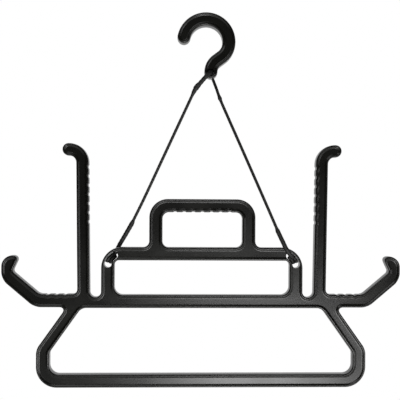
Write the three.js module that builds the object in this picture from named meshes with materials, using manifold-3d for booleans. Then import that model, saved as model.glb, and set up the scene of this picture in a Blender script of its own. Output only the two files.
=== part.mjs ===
// A moulded hanger for wetsuits: one stiff plastic frame that a cord bridle hangs from a loose plastic hook.
// Millimetres. +Z is up, +X is right as seen from the front, and the front looks towards -Y.
// The origin is the hook's seat: the top of its inner arch, half way through its thickness.
import * as THREE from 'three';
import { mergeVertices } from 'three/addons/utils/BufferGeometryUtils.js';
import Module from 'manifold-3d';

const wasm = await Module();
wasm.setup();

// Driving dimensions of the frame
const barWidth = 18.6;
const frameThickness = 15;
const seatToHandleTop = 241.7;
const frameAside = 3.9;
const handleOpeningWidth = 111.2;
const handleOpeningHeight = 48.6;
const upperOpeningWidth = 244;
const upperOpeningHeight = 47.7;
const lowerOpeningHeight = 91.8;
const baseWidth = 459.6;
const hipDrop = 58.3;
const strutWidth = 17.6;
const strutStartShare = 0.1442;

// Posts with their curled tops, which stand beside the top bar
const postWidth = 17.5;
const postGap = 15.2;
const postGapDrop = 3.2;
const postLean = 0.73;
const postHeight = 209.3;
const curlReach = 36.2;
const curlThickness = 17.4;

// Side arms with their turned-up tips
const armSpan = 556;
const armRise = 1;
const armAngle = 40.2;
const armRunShare = 0.6578;
const tipWidth = 25.5;
const tipHeight = 30.4;
const tipLean = 25;

// Corner radii of the frame's outline
const radii = {
  handleOuter: 26,
  handleInner: 9,
  handleFoot: 8.4,
  topCorner: 29,
  postGap: 7.5,
  curlBend: 27.2,
  curlEnd: 8.6,
  curlThroat: 9.8,
  armRoot: 6.5,
  armInnerBend: 12,
  tipFoot: 4.5,
  tipInner: 7,
  tipOuter: 17,
  tipHeel: 22,
  armOuterBend: 24,
  notch: 4.9,
  hip: 20,
  baseOuter: 29,
  upperTop: 6.3,
  upperBottom: 11.5,
  lowerTop: 12.7,
  lowerHip: 8,
  baseInner: 13,
};

// The moulded section that frame and hook share: a rounded rim on each edge and a shallow channel between
const rimShoulder = 2.6;
const rimCrest = 2.2;
const rimWidth = 4.8;
const channelDepth = 1.6;
const shoulderShares = { inset: 0.3, depth: 0.27 };
const slopeShares = { inset: 0.54, depth: 0.38 };

// Grip notches in the posts, the handle and the arms
const notchPitch = 12.7;
const notchDepth = 1;
const notchFloor = 2.4;
const notchRamp = 1.7;
const notchMargin = 3.5;
const postFirstDrop = 33;
const postNotchCount = 7;
const armFirstOut = 17;
const armNotchPitch = 11.9;

// Hook
const hookThickness = 17;
const hookWidth = 18.5;
const archRadius = 31.7;
const archStartAngle = 168;
const archEndAngle = -8;
const quarterRadius = 25;
const neckLean = 53;
const neckRun = 8.9;
const neckBend = 19.6;
const eyeRadius = 5.6;
const eyeFlare = 1.4;
const eyeFlareDepth = 2;

// Cord slots in the frame's top corners, curved round the corner's centre
const slotWidth = 10.3;
const slotRadius = 20.4;
const slotStart = 15.5;
const slotEnd = 58;

// Cord
const cordDiameter = 3.6;
const spliceDiameter = 6;
const tailDiameter = 5.4;
const cordGap = 0.3;
const knotDepth = 12;
const knotLength = 17;
const knotTurn = 42;
const knotSink = 0.3;

// How finely round shapes are divided
const arcError = 0.13;
const smallestRadius = 0.3;
const fitShare = 0.99;
const weldDistance = 0.0001;
const cutOverrun = 5;
const cutBlock = 100;
const sides = { cord: 8, eye: 24 };

const radians = THREE.MathUtils.degToRad;

// Levels of the frame, worked down from the hook's seat
const handleTop = -seatToHandleTop;
const handleOpeningTop = handleTop - barWidth;
const topBarTop = handleOpeningTop - handleOpeningHeight;
const topBarBottom = topBarTop - barWidth;
const middleBarTop = topBarBottom - upperOpeningHeight;
const middleBarBottom = middleBarTop - barWidth;
const baseTop = middleBarBottom - lowerOpeningHeight;
const baseBottom = baseTop - barWidth;
const armTop = middleBarTop + armRise;
const armBottom = armTop - barWidth;
const postTop = armTop + postHeight;
const postGapBottom = middleBarTop - postGapDrop;

// Distances from the frame's middle plane
const handleInner = handleOpeningWidth / 2;
const handleOuter = handleInner + barWidth;
const upperInner = upperOpeningWidth / 2;
const uprightOuter = upperInner + barWidth;
const postInnerFoot = uprightOuter + postGap;
const postOuterFoot = postInnerFoot + postWidth;
const armReach = armSpan / 2;
const overhang = armReach - postOuterFoot;
const tipInner = armReach - tipWidth;
const armBend = postOuterFoot + (tipInner - postOuterFoot) * armRunShare;
const baseOuter = baseWidth / 2;
const baseInner = baseOuter - barWidth;
const strutOuterTop = postOuterFoot + overhang * strutStartShare;

// Slopes of the arms and of the struts below them, as rise over run
const armSlope = Math.tan(radians(armAngle));
const strutSlope = hipDrop / (baseOuter - strutOuterTop);
const tipTop = armTop + (tipInner - armBend) * armSlope + tipHeight;

function postInnerAt(level) {
  return postInnerFoot + (level - postGapBottom) * Math.tan(radians(postLean));
}

function postOuterAt(level) {
  return postInnerAt(level) + postWidth;
}

function material(color, roughness) {
  return new THREE.MeshStandardMaterial({ color, roughness, metalness: 0 });
}

// Outline corners are [x, z, radius]; a mirrored half closes a symmetrical outline.
function withMirroredHalf(half) {
  const mirrored = half.map(([x, z, radius]) => [-x, z, radius]).reverse();
  return [...half, ...mirrored];
}

function frameOutline() {
  const outerBend = armBend + barWidth * Math.tan(radians(armAngle / 2));
  // Where the tip's inner side, which leans in over the arm, comes down to the arm's upper edge
  const tipSlope = Math.tan(radians(tipLean));
  const tipFoot = (tipInner + (tipTop - armTop + armBend * armSlope) * tipSlope) / (1 + armSlope * tipSlope);
  const curlEnd = postInnerAt(postTop) + curlReach;
  const curlUnderside = postTop - curlThickness;
  return withMirroredHalf([
    [handleOuter, handleTop, radii.handleOuter],
    [handleOuter, topBarTop, radii.handleFoot],
    [uprightOuter, topBarTop, radii.topCorner],
    [uprightOuter, postGapBottom, radii.postGap],
    [postInnerFoot, postGapBottom, radii.postGap],
    [postInnerAt(postTop), postTop, radii.curlBend],
    [curlEnd, postTop, radii.curlEnd],
    [curlEnd, curlUnderside, radii.curlEnd],
    [postOuterAt(curlUnderside), curlUnderside, radii.curlThroat],
    [postOuterAt(armTop), armTop, radii.armRoot],
    [armBend, armTop, radii.armInnerBend],
    [tipFoot, armTop + (tipFoot - armBend) * armSlope, radii.tipFoot],
    [tipInner, tipTop, radii.tipInner],
    [armReach, tipTop, radii.tipOuter],
    [armReach, armBottom + (armReach - outerBend) * armSlope, radii.tipHeel],
    [outerBend, armBottom, radii.armOuterBend],
    [strutOuterTop, armBottom, radii.notch],
    [baseOuter, armBottom - hipDrop, radii.hip],
    [baseOuter, baseBottom, radii.baseOuter],
  ]);
}

function handleOutline() {
  return withMirroredHalf([
    [handleInner, handleOpeningTop, radii.handleInner],
    [handleInner, topBarTop, radii.handleFoot],
  ]);
}

function upperOutline() {
  return withMirroredHalf([
    [upperInner, topBarBottom, radii.upperTop],
    [upperInner, middleBarTop, radii.upperBottom],
  ]);
}

function lowerOutline() {
  const strutInnerTop = strutOuterTop - strutWidth * Math.hypot(1, 1 / strutSlope);
  const topCorner = strutInnerTop + (armBottom - middleBarBottom) / strutSlope;
  return withMirroredHalf([
    [topCorner, middleBarBottom, radii.lowerTop],
    [baseInner, middleBarBottom - (baseInner - topCorner) * strutSlope, radii.lowerHip],
    [baseInner, baseTop, radii.baseInner],
  ]);
}

// Rows of grip notches, each on one straight edge: the side's start, the way along it, and the notch centres
function gripRows() {
  const handleRoom = handleOpeningWidth - 2 * (radii.handleInner + notchMargin);
  const handleSteps = Math.floor(handleRoom / notchPitch);
  const handleFirst = (-handleSteps * notchPitch) / 2;
  const rows = [{ side: 'handle', at: evenly(handleFirst, notchPitch, handleSteps + 1), along: 'x' }];
  const armRoom = armBend - postOuterFoot - armFirstOut - radii.armInnerBend * armSlope / 2 - notchMargin;
  const armSteps = Math.floor(armRoom / armNotchPitch);
  for (const sign of [-1, 1]) {
    const postFirst = postTop - postFirstDrop;
    rows.push({ side: 'post', sign, at: evenly(postFirst, -notchPitch, postNotchCount), along: 'z' });
    const armFirst = sign * (postOuterFoot + armFirstOut);
    const armPitch = sign * armNotchPitch;
    rows.push({ side: 'arm', sign, at: evenly(armFirst, armPitch, armSteps + 1), along: 'x' });
  }
  return rows;
}

function evenly(first, pitch, count) {
  return Array.from({ length: Math.max(count, 0) }, (_, index) => first + index * pitch);
}

// The grip row that lies on the edge between two corners, or none
function gripOn(from, to) {
  return gripRows().find((row) => {
    if (row.side === 'handle') {
      return from[1] === handleOpeningTop && to[1] === handleOpeningTop;
    }
    if (Math.sign(from[0]) !== row.sign || Math.sign(to[0]) !== row.sign) {
      return false;
    }
    if (row.side === 'arm') {
      return from[1] === armTop && to[1] === armTop;
    }
    const levels = [from[1], to[1]];
    return levels.includes(postTop) && levels.includes(postGapBottom);
  });
}

// Turns corners with radii into points. Every inset of one outline gives the same number of points.
class RoundedOutline {
  constructor(corners, isHole) {
    this.isHole = isHole;
    const points = corners.map(([x, z]) => new THREE.Vector2(x, z));
    const clockwise = THREE.ShapeUtils.isClockWise(points);
    this.corners = clockwise === isHole ? corners : [...corners].reverse();
    this.turns = this.corners.map((_, index) => this.turnAt(index));
    this.radii = this.limitRadii(this.corners, this.corners.map((corner) => corner[2]));
    this.segments = this.turns.map((turn, index) => this.segmentCount(Math.abs(turn), this.radii[index]));
    this.grips = this.corners.map((corner, index) => gripOn(corner, this.next(index)));
  }

  next(index) {
    return this.corners[(index + 1) % this.corners.length];
  }

  previous(index) {
    return this.corners[(index + this.corners.length - 1) % this.corners.length];
  }

  // Positive where the outline turns left, which is a convex corner of the material
  turnAt(index) {
    const [x, z] = this.corners[index];
    const [px, pz] = this.previous(index);
    const [nx, nz] = this.next(index);
    const before = new THREE.Vector2(x - px, z - pz).normalize();
    const after = new THREE.Vector2(nx - x, nz - z).normalize();
    return Math.atan2(before.cross(after), before.dot(after));
  }

  segmentCount(turn, radius) {
    const step = 2 * Math.acos(1 - Math.min(arcError / radius, 1));
    return Math.max(2, Math.ceil(turn / step));
  }

  // A fillet is limited by the edges beside it.
  limitRadii(points, wanted) {
    const limited = [...wanted];
    points.forEach(([x, z], index) => {
      const after = (index + 1) % points.length;
      const length = Math.hypot(points[after][0] - x, points[after][1] - z) * fitShare;
      const here = limited[index] * Math.tan(Math.abs(this.turns[index]) / 2);
      const there = limited[after] * Math.tan(Math.abs(this.turns[after]) / 2);
      if (here + there > length) {
        limited[index] *= length / (here + there);
        limited[after] *= length / (here + there);
      }
    });
    return limited;
  }

  insetCorner(index, inset) {
    const [x, z] = this.corners[index];
    const [px, pz] = this.previous(index);
    const [nx, nz] = this.next(index);
    const before = new THREE.Vector2(x - px, z - pz).normalize();
    const after = new THREE.Vector2(nx - x, nz - z).normalize();
    const inwardBefore = new THREE.Vector2(-before.y, before.x);
    const inwardAfter = new THREE.Vector2(-after.y, after.x);
    const share = inset / (1 + inwardBefore.dot(inwardAfter));
    return [x + (inwardBefore.x + inwardAfter.x) * share, z + (inwardBefore.y + inwardAfter.y) * share];
  }

  // Points of the outline moved into the material by inset; notchShare says how much of each notch is left
  points(inset, notchShare) {
    const corners = this.corners.map((_, index) => this.insetCorner(index, inset));
    const wanted = this.radii.map((radius, index) => {
      return Math.max(radius - Math.sign(this.turns[index]) * inset, smallestRadius);
    });
    const rounded = this.limitRadii(corners, wanted);
    const list = [];
    corners.forEach((corner, index) => {
      list.push(...this.arc(corners, index, rounded[index]));
      if (this.grips[index]) {
        const next = corners[(index + 1) % corners.length];
        list.push(...this.notches(corner, next, this.grips[index], notchShare));
      }
    });
    return list;
  }

  arc(corners, index, radius) {
    const count = corners.length;
    const corner = new THREE.Vector2(...corners[index]);
    const before = new THREE.Vector2(...corners[(index + count - 1) % count]).sub(corner).normalize();
    const after = new THREE.Vector2(...corners[(index + 1) % count]).sub(corner).normalize();
    const turn = this.turns[index];
    const tangent = radius * Math.tan(Math.abs(turn) / 2);
    const start = corner.clone().addScaledVector(before, tangent);
    const side = Math.sign(turn);
    const centre = start.clone().add(new THREE.Vector2(before.y, -before.x).multiplyScalar(side * radius));
    const startAngle = Math.atan2(start.y - centre.y, start.x - centre.x);
    return Array.from({ length: this.segments[index] + 1 }, (_, step) => {
      const angle = startAngle + (turn * step) / this.segments[index];
      return [centre.x + radius * Math.cos(angle), centre.y + radius * Math.sin(angle)];
    });
  }

  // Each notch is a shallow trapezoid of four points, cut below the edge.
  notches(from, to, row, notchShare) {
    const start = new THREE.Vector2(...from);
    const way = new THREE.Vector2(...to).sub(start).normalize();
    const inward = new THREE.Vector2(-way.y, way.x);
    const axis = row.along === 'x' ? 'x' : 'y';
    const distances = row.at.map((place) => (place - start[axis]) / way[axis]).sort((a, b) => a - b);
    const half = notchFloor / 2;
    const profile = [[-half - notchRamp, 0], [-half, 1], [half, 1], [half + notchRamp, 0]];
    return distances.flatMap((distance) => profile.map(([shift, depth]) => {
      const place = start.clone().addScaledVector(way, distance + shift);
      place.addScaledVector(inward, depth * notchDepth * notchShare);
      return [place.x, place.y];
    }));
  }
}

// Rings of the moulded section, from the back's channel round the edge to the front's channel
function sectionRings(thickness) {
  const slopeInset = rimCrest + (rimWidth - rimCrest) * slopeShares.inset;
  const side = [
    [0, rimShoulder],
    [rimCrest * shoulderShares.inset, rimShoulder * shoulderShares.depth],
    [rimCrest, 0],
    [slopeInset, channelDepth * slopeShares.depth],
    [rimWidth, channelDepth],
  ];
  const front = side.map(([inset, depth]) => {
    return { inset, y: depth - thickness / 2, notch: 1 - inset / rimWidth };
  });
  const back = [...front].reverse().map((ring) => ({ ...ring, y: -ring.y }));
  return [...back, ...front];
}

// Closes a body whose outlines each have one list of points per ring.
function mouldedBody(outlineRings, rings) {
  const positions = [];
  const triangles = [];
  const firstCap = [];
  const lastCap = [];
  for (const lists of outlineRings) {
    const count = lists[0].length;
    const base = positions.length / 3;
    lists.forEach((list, ring) => {
      list.forEach(([x, z]) => positions.push(x, rings[ring].y, z));
    });
    for (let ring = 0; ring + 1 < lists.length; ring += 1) {
      for (let index = 0; index < count; index += 1) {
        const here = base + ring * count + index;
        const next = base + ring * count + ((index + 1) % count);
        triangles.push(here, next, here + count, next, next + count, here + count);
      }
    }
    firstCap.push(Array.from({ length: count }, (_, index) => base + index));
    lastCap.push(Array.from({ length: count }, (_, index) => base + (lists.length - 1) * count + index));
  }
  addCap(positions, triangles, firstCap, 'back');
  addCap(positions, triangles, lastCap, 'front');
  return new wasm.Manifold(new wasm.Mesh({
    numProp: 3,
    vertProperties: new Float32Array(positions),
    triVerts: new Uint32Array(triangles),
  }));
}

function addCap(positions, triangles, loops, facing) {
  const flat = loops.map((loop) => loop.map((vertex) => {
    return new THREE.Vector2(positions[vertex * 3], positions[vertex * 3 + 2]);
  }));
  const vertices = loops.flat();
  for (const [a, b, c] of THREE.ShapeUtils.triangulateShape(flat[0], flat.slice(1))) {
    const face = [vertices[a], vertices[b], vertices[c]];
    triangles.push(...(facing === 'front' ? face : face.reverse()));
  }
}

function solidOf(geometry) {
  const bare = geometry.clone();
  bare.deleteAttribute('normal');
  bare.deleteAttribute('uv');
  const merged = mergeVertices(bare, weldDistance);
  return new wasm.Manifold(new wasm.Mesh({
    numProp: 3,
    vertProperties: new Float32Array(merged.attributes.position.array),
    triVerts: new Uint32Array(merged.index.array),
  }));
}

function geometryOf(solid) {
  const mesh = solid.getMesh();
  const geometry = new THREE.BufferGeometry();
  geometry.setAttribute('position', new THREE.BufferAttribute(new Float32Array(mesh.vertProperties), 3));
  geometry.setIndex(new THREE.BufferAttribute(new Uint32Array(mesh.triVerts), 1));
  geometry.computeVertexNormals();
  return geometry;
}

function framePart() {
  const rings = sectionRings(frameThickness);
  const outlines = [
    new RoundedOutline(frameOutline(), false),
    new RoundedOutline(handleOutline(), true),
    new RoundedOutline(upperOutline(), true),
    new RoundedOutline(lowerOutline(), true),
  ];
  const lists = outlines.map((outline) => rings.map((ring) => outline.points(ring.inset, ring.notch)));
  let solid = mouldedBody(lists, rings);
  const slot = slotCutter();
  solid = solid.subtract(slot).subtract(slot.mirror([1, 0, 0]));
  return geometryOf(solid);
}

// Middle of the rounding of a top corner, which the cord slot curves round; side is 1 on the right
function cornerCentre(side) {
  return new THREE.Vector3(side * (uprightOuter - radii.topCorner), 0, topBarTop - radii.topCorner);
}

// The right-hand slot, which runs through both faces
function slotCutter() {
  const start = radians(slotStart);
  const end = radians(slotEnd);
  const half = slotWidth / 2;
  const [startX, startY] = [slotRadius * Math.cos(start), slotRadius * Math.sin(start)];
  const [endX, endY] = [slotRadius * Math.cos(end), slotRadius * Math.sin(end)];
  const shape = new THREE.Shape();
  shape.absarc(0, 0, slotRadius + half, start, end, false);
  shape.absarc(endX, endY, half, end, end + Math.PI, false);
  shape.absarc(0, 0, slotRadius - half, end, start, true);
  shape.absarc(startX, startY, half, start + Math.PI, start + 2 * Math.PI, false);
  const depth = frameThickness + 2 * cutOverrun;
  const settings = { depth, bevelEnabled: false, curveSegments: sides.cord };
  const geometry = new THREE.ExtrudeGeometry(shape, settings);
  geometry.rotateX(Math.PI / 2);
  geometry.translate(0, depth / 2, 0);
  const centre = cornerCentre(1);
  geometry.translate(centre.x, centre.y, centre.z);
  return solidOf(geometry);
}

// The hook's centreline, as places with the direction to their left: arch, neck and bend down to the eye
function hookLine() {
  const line = [];
  const archCentre = hookWidth / 2 - archRadius;
  addArc(line, new THREE.Vector2(0, archCentre), archRadius, archStartAngle, archEndAngle);
  const archEnd = line.pop();
  const quarterCentre = archEnd.place.clone().addScaledVector(archEnd.left, -quarterRadius);
  addArc(line, quarterCentre, quarterRadius, archEndAngle, -neckLean);
  const lean = radians(neckLean);
  const down = new THREE.Vector2(-Math.sin(lean), -Math.cos(lean));
  const { place, left } = line[line.length - 1];
  const bendCentre = place.clone().addScaledVector(down, neckRun).addScaledVector(left, neckBend);
  const bendSteps = arcSteps(neckBend + hookWidth / 2, lean);
  for (let step = 0; step <= bendSteps; step += 1) {
    const angle = -lean + (lean * step) / bendSteps;
    const turned = new THREE.Vector2(Math.cos(angle), Math.sin(angle));
    line.push({ place: bendCentre.clone().addScaledVector(turned, -neckBend), left: turned });
  }
  return line;
}

// Adds an arc that runs clockwise round a centre to the hook's centreline.
function addArc(line, centre, radius, startAngle, endAngle) {
  const sweep = radians(startAngle - endAngle);
  const steps = arcSteps(radius + hookWidth / 2, sweep);
  for (let step = 0; step <= steps; step += 1) {
    const angle = radians(startAngle) - (sweep * step) / steps;
    const left = new THREE.Vector2(Math.cos(angle), Math.sin(angle));
    line.push({ place: left.clone().multiplyScalar(radius).add(centre), left });
  }
}

function arcSteps(radius, sweep) {
  return Math.ceil(sweep / (2 * Math.acos(1 - arcError / radius)));
}

function eyeCentre() {
  const line = hookLine();
  return line[line.length - 1].place;
}

function hookRing(line, inset) {
  const half = hookWidth / 2 - inset;
  const steps = arcSteps(hookWidth / 2, Math.PI);
  const right = line.map(({ place, left }) => place.clone().addScaledVector(left, -half));
  const left = line.map((point) => point.place.clone().addScaledVector(point.left, half)).reverse();
  const endCap = roundEnd(line[line.length - 1], -1, half, steps);
  const startCap = roundEnd(line[0], 1, half, steps);
  return [...right, ...endCap, ...left, ...startCap].map((point) => [point.x, point.y]);
}

// The points of a half circle round one end, without its two ends
function roundEnd({ place, left }, side, radius, steps) {
  const first = left.clone().multiplyScalar(side * radius);
  return Array.from({ length: steps - 1 }, (_, index) => {
    const angle = (Math.PI * (index + 1)) / steps;
    return first.clone().rotateAround(new THREE.Vector2(), angle).add(place);
  });
}

function hookPart() {
  const rings = sectionRings(hookThickness);
  const line = hookLine();
  const solid = mouldedBody([rings.map((ring) => hookRing(line, ring.inset))], rings);
  return geometryOf(solid.subtract(eyeCutter()));
}

// A round hole through the hook's foot, with mouths that open towards both faces
function eyeCutter() {
  const face = hookThickness / 2;
  const mouth = eyeRadius + eyeFlare;
  const half = [
    [0, face + cutOverrun],
    [mouth, face + cutOverrun],
    [mouth, face],
    [eyeRadius + eyeFlare * shoulderShares.inset, face - eyeFlareDepth * slopeShares.inset],
    [eyeRadius, face - eyeFlareDepth],
  ];
  const mirrored = half.map(([radius, y]) => [radius, -y]);
  const profile = [...mirrored, ...half.reverse()].map(([radius, y]) => new THREE.Vector2(radius, y));
  const geometry = new THREE.LatheGeometry(profile, sides.eye);
  const eye = eyeCentre();
  geometry.translate(eye.x, 0, eye.y);
  return solidOf(geometry);
}

// Cord routes in real sizes, through the hook's eye and down to the frame
const eyeRoute = [
  [-8.5, -13.4, -81.6],
  [-4.2, -13.9, -76.7],
  [0, -13.9, -72],
  [3.3, -12.4, -68.6],
  [5.4, -8.4, -66.3],
  [6.4, -3, -65],
  [6.6, 3, -65.2],
  [7.2, 8.4, -66.5],
  [8.6, 11.4, -68.8],
  [10.6, 12.8, -72.3],
  [12.3, 12.5, -76.7],
  [14.1, 12, -81.4],
];
const leftRoute = [
  [-1.3, -13.9, -73.4],
  [-8.3, -13.3, -81.4],
  [-13.2, -12.7, -87],
  [-16.6, -12.1, -92.6],
  [-20.2, -11.4, -100.2],
  [-54.2, -3.3, -173.3],
  [-86.7, 4.3, -243.3],
  [-103.2, 8.1, -277],
  [-119, 11, -304.4],
];
const rightRoute = [
  [10.8, 12.6, -72.7],
  [15.1, 11.8, -83.9],
  [19.5, 10.6, -97],
  [22.2, 10, -103.4],
  [52.5, 2.4, -173.3],
  [82.8, -5.1, -243.3],
  [101, -9.3, -286],
  [109.6, -11, -304.4],
];
// From beside the bar into the slot, where x is measured from the frame's middle plane
const leftEndRoute = [
  [-116.7, 11.1, -307.2],
  [-119.4, 11.1, -313],
  [-122.4, 10, -318],
  [-125.4, 7.8, -321.4],
  [-126.3, 5.7, -322.5],
];
const rightEndRoute = [
  [114.8, -11.1, -307.3],
  [118.2, -11.1, -313],
  [121.8, -10, -318],
  [125.2, -7.9, -321.4],
  [126.3, -5.8, -322.5],
];
// The level under the eye where the cord's strands turn on each other
const strandCut = 76.7;

// The stretch of a route between two of its points, drawn in at both ends by half the gap to its neighbours
class Stretch extends THREE.Curve {
  constructor(route, first, last) {
    super();
    const divisions = (route.length - 1) * sides.cord;
    const points = route.map((point) => new THREE.Vector3(...point));
    this.whole = new THREE.CatmullRomCurve3(points, false, 'centripetal');
    const lengths = this.whole.getLengths(divisions);
    this.total = lengths[divisions];
    this.from = lengths[first * sides.cord] + cordGap / 2;
    this.to = lengths[last * sides.cord] - cordGap / 2;
  }

  getPoint(share, target) {
    return this.whole.getPointAt((this.from + (this.to - this.from) * share) / this.total, target);
  }
}

function cordSection(diameter) {
  const corners = Array.from({ length: sides.cord }, (_, side) => {
    const angle = (2 * Math.PI * side) / sides.cord;
    return new THREE.Vector2(diameter / 2, 0).rotateAround(new THREE.Vector2(), angle);
  });
  return new THREE.Shape(corners);
}

function cordTube(route, first, last, diameter, steps) {
  const extrudePath = new Stretch(route, first, last);
  return new THREE.ExtrudeGeometry(cordSection(diameter), { steps, extrudePath, bevelEnabled: false });
}

// Two stretches turn on each other where they meet under the eye, so each is cut level there.
function cutAbove(geometry) {
  return withoutBlock(geometry, -strandCut - cutBlock / 2);
}

function cutBelow(geometry) {
  return withoutBlock(geometry, -strandCut - cordGap + cutBlock / 2);
}

function withoutBlock(geometry, level) {
  const block = new THREE.BoxGeometry(cutBlock, cutBlock, cutBlock);
  block.translate(0, 0, level);
  return geometryOf(solidOf(geometry).subtract(solidOf(block)));
}

// Gives a stretch a round end, which the next stretch swings about
function withRoundEnd(tube, end, diameter) {
  const ball = new THREE.SphereGeometry(diameter / 2, sides.cord * 2, sides.cord);
  ball.translate(...end);
  return geometryOf(solidOf(tube).add(solidOf(ball)));
}

// A knot that fills its slot at one level; side is 1 on the right, whose knot sits towards the back
function knotGeometry(side) {
  const across = slotWidth / 2 - cordGap;
  const geometry = new THREE.SphereGeometry(1, sides.cord * 2, sides.cord);
  geometry.scale(across, knotDepth / 2, knotLength / 2);
  geometry.rotateY(-side * radians(knotTurn));
  const centre = cornerCentre(side);
  const angle = radians(knotTurn);
  geometry.translate(
    centre.x + side * slotRadius * Math.cos(angle),
    side * (frameThickness / 2 - knotDepth / 2 - knotSink),
    centre.z + slotRadius * Math.sin(angle),
  );
  return geometry;
}

const plastic = () => material(0x24251f, 0.42);
const rope = () => material(0x1c1c1d, 0.85);

function piece(name, geometry, finish) {
  const mesh = new THREE.Mesh(geometry, finish);
  mesh.name = name;
  return mesh;
}

// The cord's end from beside the top bar into its slot
function cordEnd(route) {
  return cordTube(route, 0, route.length - 1, spliceDiameter, sides.cord);
}

const part = new THREE.Group();
part.add(piece('hook', hookPart(), plastic()));

// The bridle's stretches, each between two points of its route
const eyeTurn = cordTube(eyeRoute, 0, 8, spliceDiameter, 18);
const eyeDrop = cordTube(eyeRoute, 8, 11, cordDiameter, 7);
part.add(piece('cord_eye_turn', cutAbove(eyeTurn), rope()));
part.add(piece('cord_eye_drop', cutAbove(eyeDrop), rope()));

const leftTop = cordTube(leftRoute, 0, 4, spliceDiameter, 6);
const leftSpan = cordTube(leftRoute, 4, 7, cordDiameter, 18);
const leftFoot = cordTube(leftRoute, 7, 8, spliceDiameter, 3);
part.add(piece('cord_left_top_splice', cutBelow(leftTop), rope()));
part.add(piece('cord_left_span', leftSpan, rope()));
part.add(piece('cord_left_foot_splice', withRoundEnd(leftFoot, leftRoute[8], spliceDiameter), rope()));

const rightTop = cordTube(rightRoute, 0, 2, cordDiameter, 4);
const rightTail = cordTube(rightRoute, 2, 3, tailDiameter, 1);
const rightSpan = cordTube(rightRoute, 3, 6, cordDiameter, 18);
const rightFoot = cordTube(rightRoute, 6, 7, spliceDiameter, 2);
part.add(piece('cord_right_top_span', cutBelow(rightTop), rope()));
part.add(piece('cord_right_tail', rightTail, rope()));
part.add(piece('cord_right_span', rightSpan, rope()));
part.add(piece('cord_right_foot_splice', withRoundEnd(rightFoot, rightRoute[7], spliceDiameter), rope()));

const frame = new THREE.Group();
frame.position.x = -frameAside;
frame.add(piece('frame_moulding', framePart(), plastic()));
frame.add(piece('cord_left_end', cordEnd(leftEndRoute), rope()));
frame.add(piece('cord_right_end', cordEnd(rightEndRoute), rope()));
frame.add(piece('left_stopper_knot', knotGeometry(-1), rope()));
frame.add(piece('right_stopper_knot', knotGeometry(1), rope()));
part.add(frame);

export default part;
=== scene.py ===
# %% [markdown]
# # A wetsuit hanger
# The real hanger is one black plastic moulding that hangs by a braided cord from a loose plastic hook.
# The frame that carries everything is loaded first. All later pieces are in metres and in its coordinates.
# %% Load the frame
import math

import bmesh
import bpy
from mathutils import Matrix, Vector
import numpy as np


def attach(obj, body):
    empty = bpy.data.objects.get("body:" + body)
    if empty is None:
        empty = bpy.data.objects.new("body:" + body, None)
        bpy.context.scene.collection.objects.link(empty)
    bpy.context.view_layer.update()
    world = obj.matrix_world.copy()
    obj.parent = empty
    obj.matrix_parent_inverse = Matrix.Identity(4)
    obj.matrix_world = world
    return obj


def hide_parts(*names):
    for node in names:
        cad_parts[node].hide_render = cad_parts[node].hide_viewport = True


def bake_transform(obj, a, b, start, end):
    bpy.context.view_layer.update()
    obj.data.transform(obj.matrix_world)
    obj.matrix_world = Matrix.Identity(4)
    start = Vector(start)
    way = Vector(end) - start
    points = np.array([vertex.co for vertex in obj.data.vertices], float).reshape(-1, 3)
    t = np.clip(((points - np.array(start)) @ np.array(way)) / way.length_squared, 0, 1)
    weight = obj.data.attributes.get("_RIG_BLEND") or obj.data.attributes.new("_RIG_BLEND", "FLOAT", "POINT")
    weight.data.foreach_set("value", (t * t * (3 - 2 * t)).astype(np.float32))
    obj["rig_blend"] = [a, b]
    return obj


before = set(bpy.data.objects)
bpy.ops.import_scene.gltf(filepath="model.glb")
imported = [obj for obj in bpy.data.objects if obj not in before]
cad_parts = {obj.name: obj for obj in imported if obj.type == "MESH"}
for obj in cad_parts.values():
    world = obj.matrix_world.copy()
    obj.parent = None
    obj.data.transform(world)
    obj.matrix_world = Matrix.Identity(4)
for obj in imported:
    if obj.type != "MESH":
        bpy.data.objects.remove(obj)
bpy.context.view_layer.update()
MM = 0.001

# %% [markdown]
# ## Camera
# The camera stands about a metre away, a little to the left, at the height of the handle. Its place and lens
# were worked out from the hanger's outline. The lens is shifted a little, because the picture's middle isn't
# quite where the camera points. The tiny roll stands for the way the hanger leans on its rail.
# %% Camera
camera_data = bpy.data.cameras.new("camera")
camera_data.lens = 64.28
camera_data.sensor_width = 36.0
camera_data.shift_x = 0.003
camera_data.shift_y = 0.014
camera_data.clip_start = 0.01
camera = bpy.data.objects.new("camera", camera_data)
bpy.context.scene.collection.objects.link(camera)
CAMERA_PLACE = (-0.03988, -0.99982, -0.25081)
CAMERA_HEADING = -0.03086
CAMERA_ROLL = 0.00541
level = Matrix.Rotation(CAMERA_HEADING, 4, "Z") @ Matrix.Rotation(math.pi / 2, 4, "X")
turned = level @ Matrix.Rotation(CAMERA_ROLL, 4, "Z")
camera.matrix_world = Matrix.Translation(CAMERA_PLACE) @ turned
bpy.context.scene.camera = camera
print("camera at", [round(v, 3) for v in camera.location])

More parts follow.
